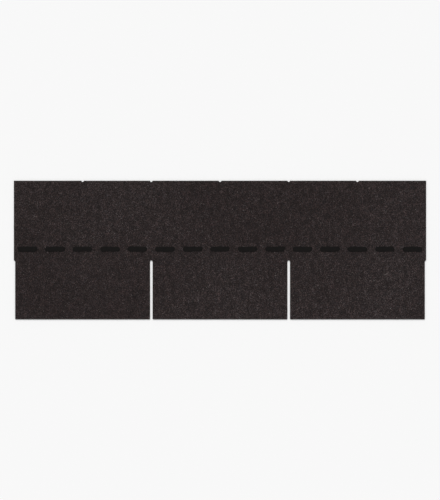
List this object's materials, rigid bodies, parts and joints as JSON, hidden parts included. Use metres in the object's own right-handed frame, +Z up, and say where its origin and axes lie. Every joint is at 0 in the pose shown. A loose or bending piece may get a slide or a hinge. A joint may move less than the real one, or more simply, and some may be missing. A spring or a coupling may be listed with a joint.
{
  "type": "three-tab asphalt shingle",
  "caption": "Flat die-cut strip of granule-faced asphalt shingle with square tabs parted by slots, a dashed row of self-seal beads above them and a release film on its back.",
  "frame": {"origin": "middle of the shingle's back face, on the surface it lies on", "axes": "+X along the course, +Y up the roof slope from the tabs' butt edge to the top edge, +Z up out of the granule face"},
  "size_m": [1, 0.336, 0.0038],
  "materials": {
    "granule_asphalt": "matte",
    "seal_asphalt": "satin",
    "release_film": "gloss"
  },
  "bodies": {
    "root": {"shingle_strip": "granule_asphalt", "seal_beads": "seal_asphalt", "release_film": "release_film"}
  },
  "joints": []
}
